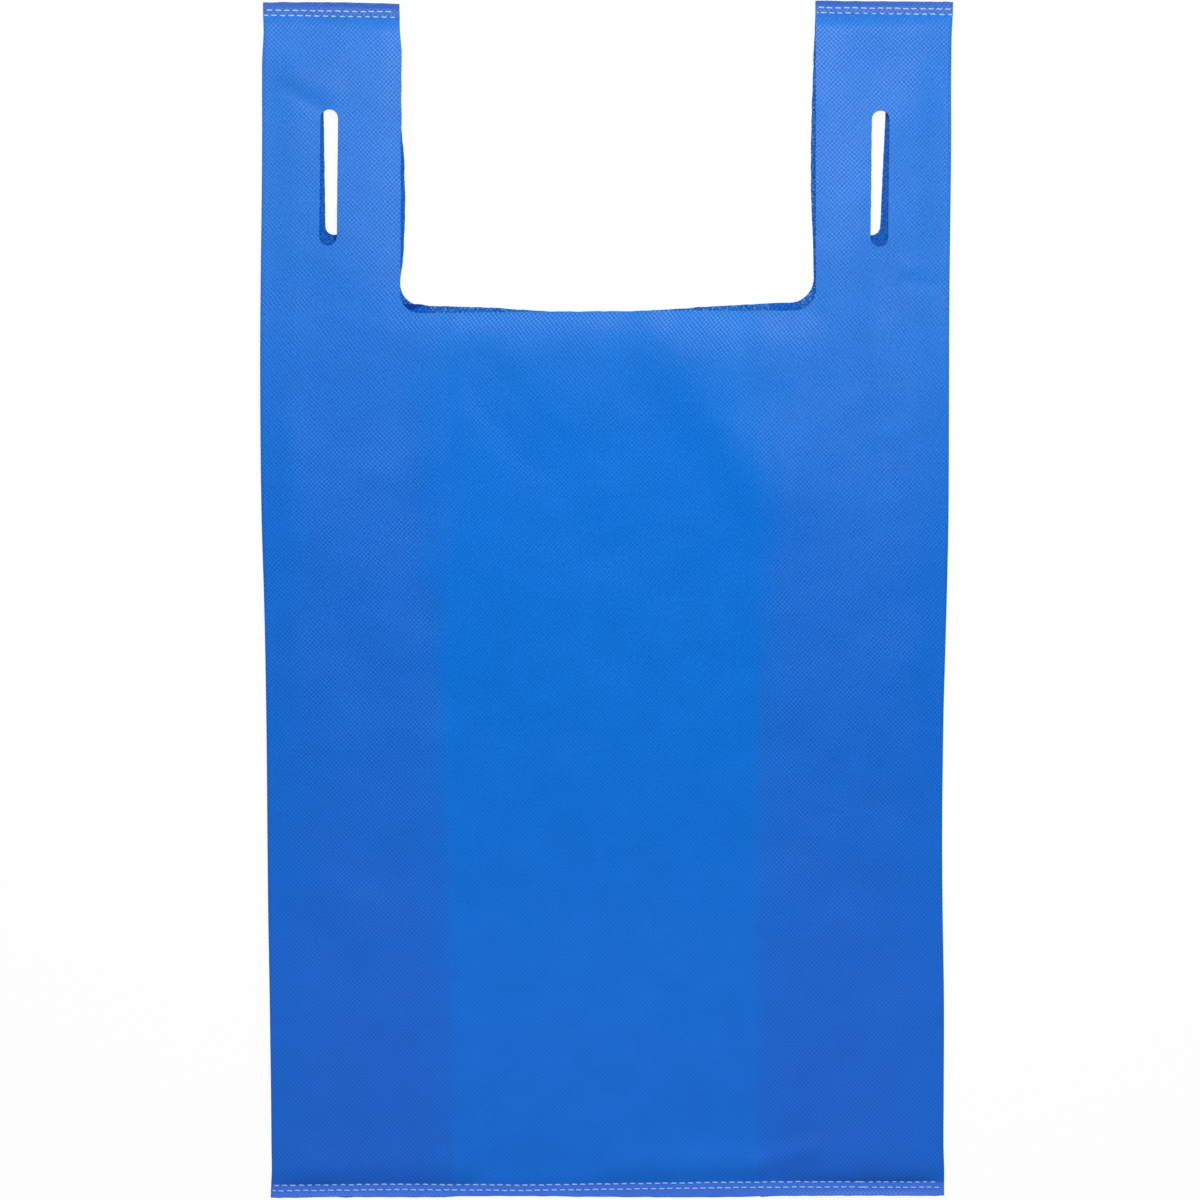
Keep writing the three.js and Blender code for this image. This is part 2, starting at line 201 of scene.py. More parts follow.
# Painted shade inside the folds and under the front panel: how deep in that shade each part lies, as a
# share, and the tint it paints at each depth
GUSSET_SHADE = 0.5
AT_NECK_SHADE, AT_NECK_WIDTH = 0.5, 12  # how much more painted shade the lower gusset half gets at the neck
PANEL_INNER_SHADE = (0.28, 0.4)  # painted shade on the inner face of both panels, below HANDLES and above
HANDLES = (394, 404)
SHADE_TINTS = [(0, (1, 1, 1)), (0.1, (0.95, 0.95, 0.84)), (GUSSET_SHADE, (0.17, 0.59, 0.81)),
          (1, (0.01, 0.25, 0.48))]
GUSSET_FUZZ = 0.25  # how much of the fuzz the gusset's inner faces have
FUZZ = (0.085, 0.33, 0.63)  # loose fibres of the inner face that catch the light
FUZZ_SHADE = (0.3, 0.55, 0.78)  # and what the hollows between them do to the colour
RAISED_HIGHLIGHT = (1.7, 1.5, 1.2)  # painted highlight where the cloth stands up between the bond points
DOT = (0.45, 0.72, 0.88)  # and what a bond point does
THREAD = (0.41, 0.66, 1.0)

# The cloth's surface. Ranges are a value's low and high end and, where four, what it becomes there.
BOND_PITCH = (1.95, 2.0)  # across and along the bag
BOND_FULL = 1.8  # the height of the embossed pattern at which a bond point is full
DRIFT_SCALE, DRIFT = 0.12, 1.2  # how the pattern wanders
FIBRE_SCALE, FIBRE_SPREAD = 2.2, 0.05
PATCH_SCALE, PATCHES = 0.1, (0.36, 0.64, 0.12, 1.05)  # the pattern shows more in some places
PATTERN_LOW = (60.0, 260.0, 0.45, 1.0)  # and less near the bottom
PATTERN_HIGH = (320.0, 400.0)  # where it comes out at the handles
PATTERN_RISE, PATTERN_BASE = 0.42, 0.3
# how much of the painted highlight the raised cloth takes
RAISED_HIGHLIGHT_SHARE = 0.4
MOTTLE_SCALE, MOTTLE_SPREAD = 0.06, 0.04
GRAIN_SCALE, GRAIN_SPREAD = 0.75, (60.0, 300.0, 0.03, 0.12)
CLUMP_SCALE, CLUMP_LIGHT, CLUMP_DARK = 1.2, (0.53, 0.63), (0.52, 0.40)
GLOSS = (-1.8, 1.5, 0.25, 0.05)  # less of it at the bond points
GLOSS_RISE, GLOSS_BASE = 0.6, 0.4
# the gloss fades in the painted shade as well, down to 0.3 of it at the gusset's
GLOSS_IN_SHADE = (0.0, GUSSET_SHADE, 1.0, 0.3)
CLOTH_ROUGHNESS = 0.4
CLOTH_BUMP = 0.15
# Heights over which the cloth's colours and its painted light and shade change
LOW_COLOURS = (230.0, 40.0)
TOUCHING = (0.0, 400.0, 1.0, 0.2)  # how much of the painted shade of what lies below shows on the front panel
SHEEN_FROM, SHEEN_TO = 325.0, 430.0
SHEEN_SPREAD = 40.0  # how much further out either end lies over the gussets
SHEEN_SHIFT = 36.0  # how much lower the painted sheen starts on the right side
# Where the painted shade of the gusset under the front panel falls
BACKED_SOFT = (3, 16)  # how soft its inner edge looks, below and above BACKED_HEIGHTS
BACKED_HEIGHTS = (220, 330)
NEAR_FOLD, SIDE_WIDTH, INNER_WIDTH = 0.75, 30, 20  # how much of that painted shade is left near its folds, which are painted lighter, and how near

# Mesh density: how far apart points lie on each layer, and near the seams
LAYER_STEPS = (4.5, 6.0, 6.0, 3.0)
SEAM_STEPS = (1.3, 2.2, 2.2, 0.8)
SEAM_BAND = 14
STITCH_BAND = 8
ROW_STEP = 0.87  # rows of points lie closer than the points in a row
EDGE_STEP = 1.6
SLOT_STEP = 1.2
FOLD_STEP = 3.0
FOLD_SEAM_STEP = 1.5
FOLD_POINTS = (-1, -0.6, -0.2, 0.2, 0.6, 1)  # places round a fold, as shares of FOLD_REACH
FOLD_SIDE = 1.4  # how far beside each fold there is a column of points
FOLD_MARGIN = 2.6  # how far the other points stay off it
FOLD_CLEAR = 2  # the same for the points of a sewn edge
CUT_CLEAR = 0.75  # how far the points inside stay off the cuts


# Curves and soft noise

def smoothstep(low, high, value):
    share = np.clip((np.asarray(value, float) - low) / (high - low), 0, 1)
    return share * share * (3 - 2 * share)


def mix(a, b, share):
    return a + (b - a) * share


def curve_through(keys, at):
    """A smooth curve through (place, value) keys."""
    places = np.array([key[0] for key in keys], float)
    values = np.array([key[1] for key in keys], float)
    slopes = np.gradient(values, places)
    at = np.clip(at, places[0], places[-1])
    i = np.clip(np.searchsorted(places, at) - 1, 0, len(places) - 2)
    span = places[i + 1] - places[i]
    t = (at - places[i]) / span
    return ((2 * t**3 - 3 * t**2 + 1) * values[i] + (t**3 - 2 * t**2 + t) * span * slopes[i]
            + (3 * t**2 - 2 * t**3) * values[i + 1] + (t**3 - t**2) * span * slopes[i + 1])


def along(keys, x):
    """The height at x on a line of straight runs."""
    return np.interp(x, *zip(*keys))


def hill(distance, width):
    """1 at distance 0, falling softly to 0 beyond the width."""
    return np.exp(-(distance / width) ** 2)


def soft_noise(x, y, size, seed, waves=14):
    """Smooth random hills about size across, mostly between -1 and 1."""
    draw = np.random.default_rng(seed)
    total = 0
    for _ in range(waves):
        angle, phase = draw.uniform(0, 2 * math.pi, 2)
        pace = 2 * math.pi / size * draw.uniform(0.6, 1.4)
        total = total + np.sin(pace * (math.cos(angle) * x + math.sin(angle) * y) + phase)
    return total / math.sqrt(waves)


# The folded stack: where each layer lies

def left_side(height):
    return -curve_through(LEFT_SIDE, height)


def right_side(height):
    return curve_through(RIGHT_SIDE, height)


def left_gusset(height):
    """x of the left gusset's inner fold."""
    return left_side(height) + curve_through(LEFT_DEPTH, height)


def right_gusset(height):
    """x of the right gusset's closing line: its two halves end here in a weld, which reaches further in."""
    return right_side(height) - curve_through(RIGHT_DEPTH, height)


def bottom_edge(x, layer):
    ragged = BOTTOM_RAGGED * soft_noise(x, 0 * x, BOTTOM_WAVE, 40 + layer)
    return along(BOTTOM_EDGE, x) + ragged + BOTTOM_STAGGER[layer]


def top_edge(x, layer):
    ragged = TOP_RAGGED * soft_noise(x, 0 * x, TOP_WAVE, 50 + layer)
    return along(TOP_EDGE, x) + ragged + TOP_STAGGER[layer]


def from_side(x, height):
    """Distance from the nearer side fold."""
    return np.minimum(x - left_side(height), right_side(height) - x)


def from_neck(x, height):
    """Distance from the front panel's neck cut."""
    return np.hypot(np.maximum(np.abs(x) - NECK_REACH, 0), np.maximum(NECK_BOTTOM - height, 0))


def edge_distance(x, height):
    """Distance from the nearest sewn edge."""
    from_bottom = height - along(BOTTOM_EDGE, x)
    from_top = along(TOP_EDGE, x) - height
    return np.minimum(from_bottom, from_top)


def past_stitches(x, height):
    """How far a place lies beyond the inner row of stitches, away from the sewn edge."""
    from_bottom = height - along(BOTTOM_ROW, x) - ROW_SPACING
    from_top = along(LEFT_ROW + RIGHT_ROW, x) - ROW_SPACING - height
    return np.minimum(from_bottom, from_top)


def pressed(x, height):
    """1 where the stitches press the layers together, falling to 0 away from the seam."""
    at_edge = mix(CUT_PRESS, 1, smoothstep(0, CUT_PRESS_REACH, edge_distance(x, height)))
    share = np.clip(past_stitches(x, height) / SEAM_RISE, 0, 1)
    return at_edge * (1 - share) ** 2.5


# Soft forms of the front panel: a line from one place to another, the form's half width, and its height
FORMS = [
    ((-141, 488), (-126, 479.5), 2.3, -0.9),
    ((-141, 494), (-123, 488), 5.5, 0.8),
    ((131, 404.5), (150, 401), 2.2, -1.0),
    ((133, 410), (150, 407), 5.0, 0.7),
    ((116, 416), (122, 318), 4.0, -0.5),
    ((124, 412), (132, 340), 9.0, 0.4),
    ((-148, 513), (-92, 513), 9.0, -1.25),
    ((-62, 394), (2, 394), 18.0, -0.8),
    ((14, 394), (74, 394), 18.0, -1.7),
    ((-56, 362), (-30, 330), 10.0, -1.5),
    ((-28, 327), (0, 288), 12.0, -0.7),
    ((20, 386), (70, 312), 17.0, 2.3),
    ((14, 354), (40, 330), 13.0, -0.8),
    ((-86, 300), (-82, 262), 14.0, -0.7),
    ((84, 284), (92, 250), 15.0, -0.7),
    ((-140, 150), (-108, 118), 14.0, 0.6),
    ((-145, 17), (-72, 15), 8.0, 0.6),
    ((-50, 13), (-10, 13), 8.0, -0.8),
    ((6, 15), (62, 14), 7.0, 1.0),
    ((66, 14), (90, 21), 4.0, 0.9),
    ((98, 21), (144, 21), 8.0, 0.5),
]
FRONT_REST = 1.3  # how far the front panel stands off the layer below on the whole
FRONT_HILLS = [(0.45, 130), (0.22, 48), (0.05, 15)]  # the height and size of its random hills
NECK_LIFT, NECK_LIFT_FROM, NECK_LIFT_WIDTH = 2.4, 7, 24  # it stands up near the neck
NECK_DROOP, NECK_DROOP_WIDTH = 0.5, 4  # and droops a little at the cut
SLOT_LIFT, SLOT_LIFT_WIDTH = 1.2, 20  # it stands up round each slot, too
SLOT_LINES = [((-122, 424), (-122, 476)), ((120, 424), (120, 476))]
SIDE_SHARE, SIDE_REACH = 0.2, 16  # how much of all this is left at the side folds
LEAST_FRONT, LEAST_INNER = 0.04, 0.02  # layers stay this far apart at least
INNER_REST, INNER_RISE, INNER_SIZE = 0.22, 0.16, 90
BACK_REST, BACK_RISE, BACK_SIZE = 0.15, 0.12, 110


def distance_to_line(x, y, start, end):
    reach = np.subtract(end, start)
    share = ((x - start[0]) * reach[0] + (y - start[1]) * reach[1]) / (reach @ reach)
    share = np.clip(share, 0, 1)
    return np.hypot(x - start[0] - share * reach[0], y - start[1] - share * reach[1])


def front_relief(x, height):
    """How far the front panel stands off the layer below it, apart from the plain gap."""
    relief = FRONT_REST
    for seed, (rise, size) in enumerate(FRONT_HILLS, 3):
        relief = relief + rise * soft_noise(x, height, size, seed)
    for start, end, width, rise in FORMS:
        relief = relief + rise * hill(distance_to_line(x, height, start, end), width)
    neck = from_neck(x, height)
    relief = np.maximum(relief, LEAST_FRONT)
    relief = relief + NECK_LIFT * hill(np.maximum(neck - NECK_LIFT_FROM, 0), NECK_LIFT_WIDTH)
    relief = relief - NECK_DROOP * hill(neck, NECK_DROOP_WIDTH)
    for start, end in SLOT_LINES:
        relief = relief + SLOT_LIFT * hill(distance_to_line(x, height, start, end), SLOT_LIFT_WIDTH)
    return relief * mix(SIDE_SHARE, 1, smoothstep(0, SIDE_REACH, from_side(x, height)))


def inner_relief(layer, x, height):
    """The same for the layers inside, which lie flatter."""
    relief = INNER_REST + INNER_RISE * soft_noise(x, height, INNER_SIZE, 10 + layer)
    return np.maximum(relief, LEAST_INNER)


def level(layer, x, height):
    """z of the middle of a layer: 0 the back panel, 1 and 2 the gusset's halves, 3 the front panel."""
    press = pressed(x, height)
    free = 1 - press
    waves = np.maximum(BACK_REST + BACK_RISE * soft_noise(x, height, BACK_SIZE, 2), LEAST_INNER)
    back = CLOTH / 2 + SEAM_LIFT * press + free * waves
    if layer == 0:
        return back
    gap = mix(LAYER_GAP, PRESSED_GAP, press)
    lower = back + CLOTH + gap + free * inner_relief(1, x, height)
    if layer == 1:
        return lower
    welded = 1 - smoothstep(0, WELD, x - right_gusset(height))
    upper = lower + CLOTH + (gap + free * inner_relief(2, x, height)) * np.where(x > 0, 1 - welded, 1)
    if layer == 2:
        return upper
    end = np.where(x > 0, right_gusset(height) - WELD - x, x - left_gusset(height))
    drape = mix(DRAPE, SEWN_DRAPE, press)
    lowered = smoothstep(0, 1, end / drape)
    over_gusset = upper + CLOTH + gap
    over_back = back + CLOTH + mix(CENTRE_GAP, PRESSED_GAP, press)
    return mix(over_gusset, over_back, lowered) + free * front_relief(x, height)


# The flat sheet: six panels between seven lines, from one welded edge round to the other

PANEL_LAYERS = (1, 0, 1, 2, 3, 2)
FOLD_LAYERS = {1: (1, 0), 2: (0, 1), 3: (1, 2), 4: (2, 3), 5: (3, 2)}
FOLD_BULGE = {1: 1, 2: -1, 3: 1, 4: -1, 5: 1}  # which way along x each fold points
INNER_LINE = {0: 0, 2: 3, 3: 3, 5: 6}  # the line at each gusset half's inner end
PANEL_SLOTS = (["right"], ["left", "right"], ["left"], ["left"], ["left", "right"], ["right"])


def line_x(line, height):
    """x of a fold's outside, or of a welded edge."""
    if line in (0, 6):
        return right_gusset(height) - WELD
    if line in (1, 5):
        return right_side(height)
    if line in (2, 4):
        return left_side(height)
    return left_gusset(height)


def girth_line(line, height):
    """How far round the sheet a fold or an edge lies."""
    panel = right_side(height) - left_side(height)
    left = curve_through(LEFT_DEPTH, height)
    right = curve_through(RIGHT_DEPTH, height) + WELD
    return sum((right, panel, left, left, panel, right)[:line]) + 0 * height


def fold_radius(line, height):
    near = line_x(line, height) - FOLD_BULGE[line] * FOLD_INSET
    low, high = FOLD_LAYERS[line]
    return np.abs(level(high, near, height) - level(low, near, height)) / 2


def line_middle(line, height):
    """x of the centre that a fold turns round."""
    if line in (0, 6):
        return line_x(line, height)
    return line_x(line, height) - FOLD_BULGE[line] * (fold_radius(line, height) + CLOTH / 2)


def panel_span(panel, height):
    """Where a panel's flat part starts and ends along the girth."""
    start = girth_line(panel, height) + (FOLD_REACH if panel > 0 else 0)
    end = girth_line(panel + 1, height) - (FOLD_REACH if panel < 5 else 0)
    return start, end


def girth_at(panel, x, height):
    start, end = panel_span(panel, height)
    first, last = line_middle(panel, height), line_middle(panel + 1, height)
    return mix(start, end, (x - first) / (last - first))


def folded(girth, height):
    """The place of points of the flat sheet once it is folded, as arrays x and z, and each one's layer."""
    x, z = np.zeros_like(girth), np.zeros_like(girth)
    layer = np.zeros(len(girth), int)
    for panel, panel_layer in enumerate(PANEL_LAYERS):
        start, end = panel_span(panel, height)
        on = (girth >= start - FOLD_REACH) & (girth <= end + FOLD_REACH)
        share = np.clip((girth - start) / (end - start), 0, 1)[on]
        x[on] = mix(line_middle(panel, height[on]), line_middle(panel + 1, height[on]), share)
        z[on] = level(panel_layer, x[on], height[on])
        layer[on] = panel_layer
    for line, (before, after) in FOLD_LAYERS.items():
        from_line = girth - girth_line(line, height)
        on = np.abs(from_line) < FOLD_REACH
        middle = line_middle(line, height[on])
        first, last = level(before, middle, height[on]), level(after, middle, height[on])
        turn = from_line[on] / FOLD_REACH * math.pi / 2
        x[on] = middle + FOLD_BULGE[line] * np.abs(last - first) / 2 * np.cos(turn)
        z[on] = (first + last) / 2 + (last - first) / 2 * np.sin(turn)
        layer[on] = np.where(turn < 0, before, after)
    return x, z, layer


# Outlines of the cuts, in x and height

def arc(centre, radius, start, end, step=EDGE_STEP):
    count = max(4, round(radius * abs(end - start) / step))
    angles = np.linspace(start, end, count)
    return [(centre[0] + radius * math.cos(a), centre[1] + radius * math.sin(a)) for a in angles]


def run(start, end, ragged, seed):
    """Points from start to end on a line that is a little ragged. The last point is left out."""
    length = math.dist(start, end)
    share = np.linspace(0, 1, max(2, round(length / EDGE_STEP)) + 1)[:-1]
    x = mix(start[0], end[0], share)
    y = mix(start[1], end[1], share)
    rough = ragged * (4 * share * (1 - share)) ** 0.3 * soft_noise(share * length, 0 * share, CUT_WAVE, seed)
    normal = ((end[1] - start[1]) / length, -(end[0] - start[0]) / length)
    return list(zip(x + rough * normal[0], y + rough * normal[1]))


def neck_outline(layer):
    """From the top of the right handle down its edge, along the neck and up the left handle's edge."""
    neck = NECKS[layer]
    (left, right), (low_left, low_right) = neck["sides"], neck["bottom"]
    left_radius, right_radius = neck["radius"]
    top_right = (right, float(top_edge(np.array(right), layer)))
    top_left = (left, float(top_edge(np.array(left), layer)))
    right_centre = (right - right_radius, low_right + right_radius)
    left_centre = (left + left_radius, low_left + left_radius)
    points = run(top_right, (right, right_centre[1]), HANDLE_RAGGED, 60 + layer)
    points += arc(right_centre, right_radius, 0, -math.pi / 2)[:-1]
    points += run((right_centre[0], low_right), (left_centre[0], low_left), NECK_RAGGED, 70 + layer)
    points += arc(left_centre, left_radius, -math.pi / 2, -math.pi)[:-1]
    points += run((left, left_centre[1]), top_left, HANDLE_RAGGED, 80 + layer)
    return moved(points + [top_left], neck)


def moved(points, neck):
    """An outline with its bottom lifted and its upright edges moved sideways."""
    x, height = np.transpose(points)
    sideways = np.where(x < 0, along(neck["left"], height), along(neck["right"], height))
    height = height + along(neck["lift"], x) * (1 - smoothstep(*CORNERS_END, height))
    return list(zip(x + sideways, height))


def slot_outline(layer, side):
    x, height, lean = SLOTS[layer][side]
    radius = SLOT_WIDTH / 2
    half = SLOT_LENGTH / 2 - radius
    points = arc((0, half), radius, 0, math.pi, SLOT_STEP)[:-1]
    points += run((-radius, half), (-radius, -half), SLOT_RAGGED, layer)
    points += arc((0, -half), radius, math.pi, 2 * math.pi, SLOT_STEP)[:-1]
    points += run((radius, -half), (radius, half), SLOT_RAGGED, 9)
    tilt = math.atan2(lean, SLOT_LENGTH)
    cos, sin = math.cos(tilt), math.sin(tilt)
    return [(x + px * cos - py * sin, height + px * sin + py * cos) for px, py in points]


def on_sheet(panel, points):
    """Points in x and height as points in girth and height."""
    x, height = np.transpose(points)
    return np.column_stack([girth_at(panel, x, height), height])


def sewn_edge(panel, from_x, to_x, edge):
    """A sewn edge of one panel, from one x to another, in girth and height."""
    x = np.linspace(from_x, to_x, max(2, round(abs(to_x - from_x) / EDGE_STEP)) + 1)[1:-1]
    height = edge(x, PANEL_LAYERS[panel])
    return np.column_stack([girth_at(panel, x, height), height])


def fold_end(line, edge):
    """The points of a sewn edge that go round one fold."""
    about = 0 if edge is bottom_edge else BAG_HEIGHT
    height = float(edge(np.array(float(line_x(line, about))), 3))
    middle = float(girth_line(line, about))
    return np.array([(middle + share * FOLD_REACH, height) for share in FOLD_POINTS])


def sheet_outline():
    """The outer boundary of the flat sheet, anticlockwise: along the bottom, then back over the handles."""
    loop = [*bottom_parts(), weld_edge(6), *top_parts(), weld_edge(0)[:0:-1]]
    return np.vstack([part for part in loop if len(part)])


def bottom_parts():
    """The sheet's bottom edge, panel by panel from its first welded edge."""
    parts = []
    for panel in range(6):
        parts.append(weld_edge(0)[:1] if panel == 0 else fold_end(panel, bottom_edge))
        start = line_x(panel, 0) - FOLD_CLEAR * FOLD_BULGE.get(panel, 0)
        end = line_x(panel + 1, 0) - FOLD_CLEAR * FOLD_BULGE.get(panel + 1, 0)
        parts.append(sewn_edge(panel, start, end, bottom_edge))
    return parts


def top_parts():
    """The sheet's top edge with its neck cuts, from its last welded edge back to its first."""
    necks = [neck_outline(layer) for layer in PANEL_LAYERS]
    neck_right = [neck[0][0] for neck in necks]
    neck_left = [neck[-1][0] for neck in necks]
    right_end = line_x(5, BAG_HEIGHT) - FOLD_CLEAR
    left_end = line_x(4, BAG_HEIGHT) + FOLD_CLEAR
    return [
        gusset_notch(5, necks[5]),
        handle_top(5, neck_right[5], right_end),
        fold_end(5, top_edge)[::-1],
        handle_top(4, right_end, neck_right[4]),
        on_sheet(4, necks[4]),
        handle_top(4, neck_left[4], left_end),
        fold_end(4, top_edge)[::-1],
        handle_top(3, left_end, neck_left[3]),
        gusset_notch(3, necks[3])[::-1],
        gusset_notch(2, necks[2]),
        handle_top(2, neck_left[2], left_end),
        fold_end(2, top_edge)[::-1],
        handle_top(1, left_end, neck_left[1]),
        on_sheet(1, necks[1][::-1]),
        handle_top(1, neck_right[1], right_end),
        fold_end(1, top_edge)[::-1],
        handle_top(0, right_end, neck_right[0]),
        gusset_notch(0, necks[0])[::-1],
    ]


def weld_edge(line):
    """The points of a welded edge, from just over the bottom edge to just under the neck."""
    heights = np.arange(0, NECK_BOTTOM, FOLD_STEP) + 0.3
    return np.column_stack([girth_line(line, heights), heights])


def handle_top(panel, from_x, to_x):
    return sewn_edge(panel, from_x, to_x, top_edge)


def gusset_notch(panel, neck):
    """The part of a neck outline that cuts one gusset half, from its inner end to the top of the handle."""
    line = INNER_LINE[panel]
    on_left = line == 3
    x, height = np.transpose(neck)
    inner = line_x(line, height)
    on = x < inner if on_left else x > inner
    points = [(px, py) for px, py, kept in zip(x, height, on) if kept]
    placed = on_sheet(panel, points if on_left else points[::-1])
    end = np.array([(float(girth_line(line, placed[0][1])), placed[0][1])])
    return np.vstack([end, placed])


def lattice(panel):
    """Points over one panel, closer together near the seams."""
    step = LAYER_STEPS[PANEL_LAYERS[panel]]
    fine_step = SEAM_STEPS[PANEL_LAYERS[panel]]
    bands = [(SEAM_BAND, BAG_HEIGHT - SEAM_BAND, step), (0, STITCH_BAND, fine_step),
             (BAG_HEIGHT - STITCH_BAND, BAG_HEIGHT, fine_step), (STITCH_BAND, SEAM_BAND, 2 * fine_step),
             (BAG_HEIGHT - SEAM_BAND, BAG_HEIGHT - STITCH_BAND, 2 * fine_step)]
    return np.vstack([staggered(panel, *band) for band in bands])


def staggered(panel, low, high, step):
    """Points of one panel between two heights, in rows that lie half a step off each other."""
    heights = np.arange(low + step / 2, high, step * ROW_STEP)
    steps = np.arange(0, BAG_WIDTH + 10, step)
    x, height = np.meshgrid(steps, heights)
    x = x + (np.arange(len(heights)) % 2 * step / 2)[:, None]
    margin = FOLD_REACH + FOLD_MARGIN
    start, end = girth_line(panel, height) + margin, girth_line(panel + 1, height) - margin
    kept = start + x < end
    return np.column_stack([(start + x)[kept], height[kept]])


def fold_columns():
    """Columns of points round each fold and beside it."""
    near_top = BAG_HEIGHT - SEAM_BAND
    heights = np.concatenate([np.arange(1.2, SEAM_BAND, FOLD_SEAM_STEP),
                              np.arange(SEAM_BAND + 1, near_top, FOLD_STEP),
                              np.arange(near_top, BAG_HEIGHT - 1, FOLD_SEAM_STEP)])
    round_fold = [FOLD_REACH * share for share in FOLD_POINTS]
    offsets = [-FOLD_REACH - FOLD_SIDE, *round_fold, FOLD_REACH + FOLD_SIDE]
    return np.vstack([np.column_stack([girth_line(line, heights) + offset, heights]) for line in range(1, 6)
                      for offset in offsets])


def inside(points, outline):
    """Whether each point lies inside a closed outline."""
    x, y = points[:, 0], points[:, 1]
    result = np.zeros(len(points), bool)
    for (ax, ay), (bx, by) in zip(outline, np.roll(outline, -1, axis=0)):
        crosses = (ay > y) != (by > y)
        if ay != by:
            result ^= crosses & (x < (bx - ax) * (y - ay) / (by - ay) + ax)
    return result


def closed_loops(loops):
    """The points of closed outlines as one list, and the edges that join them."""
    points, edges = [], []
    for loop in loops:
        first = len(points)
        points += [tuple(point) for point in loop]
        edges += [(first + i, first + (i + 1) % len(loop)) for i in range(len(loop))]
    return points, edges


def points_clear_of(cut_points):
    """The sheet's folds and lattice as points that stay clear of the cuts."""
    nearby = KDTree(len(cut_points))
    for i, (girth, height) in enumerate(cut_points):
        nearby.insert((girth, height, 0), i)
    nearby.balance()
    points = np.vstack([fold_columns(), *(lattice(panel) for panel in range(6))])
    clear = [nearby.find((girth, height, 0))[2] > CUT_CLEAR for girth, height in points]
    return [tuple(point) for point in points[np.array(clear)]]


def flat_mesh():
    """Points and triangles of the flat sheet with its cuts."""
    outer = sheet_outline()
    holes = [on_sheet(panel, slot_outline(layer, side)) for panel, layer in enumerate(PANEL_LAYERS)
             for side in PANEL_SLOTS[panel]]
    cut_points, edges = closed_loops([outer, *holes])
    points = cut_points + points_clear_of(cut_points)
    points, _, triangles, _, _, _ = delaunay_2d_cdt(points, edges, [], 1, 1e-4)
    points = np.array([tuple(point) for point in points])
    triangles = np.array([tuple(face) for face in triangles])
    centres = points[triangles].mean(axis=1)
    kept = inside(centres, outer)
    for hole in holes:
        kept &= ~inside(centres, hole)
    used, triangles = np.unique(triangles[kept], return_inverse=True)
    return points[used], triangles.reshape(-1, 3)


# Meshes

def vertex_normals(points, triangles):
    a, b, c = (points[triangles[:, i]] for i in range(3))
    faces = np.cross(b - a, c - a)
    normals = np.zeros_like(points)
    for i in range(3):
        np.add.at(normals, triangles[:, i], faces)
    return normals / np.maximum(np.linalg.norm(normals, axis=1, keepdims=True), 1e-12)


def new_object(name, points, faces, material, smooth=True):
    mesh = bpy.data.meshes.new(name)
    mesh.from_pydata((np.asarray(points) * MM).tolist(), [], [list(map(int, face)) for face in faces])
    mesh.materials.append(material)
    mesh.polygons.foreach_set("use_smooth", [smooth] * len(mesh.polygons))
    obj = bpy.data.objects.new(name, mesh)
    bpy.context.scene.collection.objects.link(obj)
    return obj


def rim_edges(triangles):
    """Edges of the flat mesh that belong to one triangle, running the way that triangle runs."""
    edges = np.vstack([triangles[:, [0, 1]], triangles[:, [1, 2]], triangles[:, [2, 0]]])
    keys = np.sort(edges, axis=1)
    _, place, count = np.unique(keys, axis=0, return_index=True, return_counts=True)
    return edges[place[count == 1]]


def make_bag(material):
    """The folded sheet as a shell: all points of its outer face, then all of its inner face."""
    flat, triangles = flat_mesh()
    girth, height = flat[:, 0], flat[:, 1]
    x, z, layer = folded(girth, height)
    middle = np.column_stack([x, height - BAG_HEIGHT / 2, z])
    normals = vertex_normals(middle, triangles)
    outer, inner = middle + normals * CLOTH / 2, middle - normals * CLOTH / 2
    count = len(middle)
    rim = rim_edges(triangles)
    walls = [(b, a, a + count, b + count) for a, b in rim]
    faces = [*triangles, *(triangles[:, ::-1] + count), *walls]
    shell = new_object("folded_bag_cloth", np.vstack([outer, inner]), faces, material)
    sharpen(shell, rim, count)
    in_gusset = (layer == 1) | (layer == 2)
    fuzz = np.concatenate([np.zeros(count), np.where(in_gusset, GUSSET_FUZZ, 1)])
    store(shell, "flat_mm", np.tile(girth, 2), np.tile(height, 2), fuzz)
    # What the material reads for its painted light and shade: the shade over the gussets, the shade in the
    # folds, and the sheen and shade of the hems
    hem = smoothstep(*HEM_FROM, past_stitches(x, height))
    store(shell, "painted_light_masks", np.tile(backed(x, height), 2), shade_depths(x, height, layer), np.tile(hem, 2))
    return shell


def shade_depths(x, height, layer):
    """How deep in painted shade each point of the outer face lies, then each of the inner face."""
    in_gusset = (layer == 1) | (layer == 2)
    near_neck = np.where(layer == 1, hill(from_neck(x, height), AT_NECK_WIDTH), 0)
    panel = mix(*PANEL_INNER_SHADE, smoothstep(*HANDLES, height))
    return np.concatenate([in_gusset * (GUSSET_SHADE + AT_NECK_SHADE * near_neck),
                           np.where(in_gusset, GUSSET_SHADE, panel)])


def store(obj, name, *parts):
    """Keeps three values for every point of a mesh."""
    made = obj.data.attributes.new(name, "FLOAT_VECTOR", "POINT")
    made.data.foreach_set("vector", np.column_stack(parts).ravel())


def sharpen(obj, rim, count):
    """Keeps the cut edges crisp."""
    rims = np.sort(np.vstack([rim, rim + count]), axis=1)
    wanted = {(int(a), int(b)) for a, b in rims}
    sharp = obj.data.attributes.new("sharp_edge", "BOOLEAN", "EDGE")
    sharp.data.foreach_set("value", [tuple(sorted(edge.vertices)) in wanted for edge in obj.data.edges])


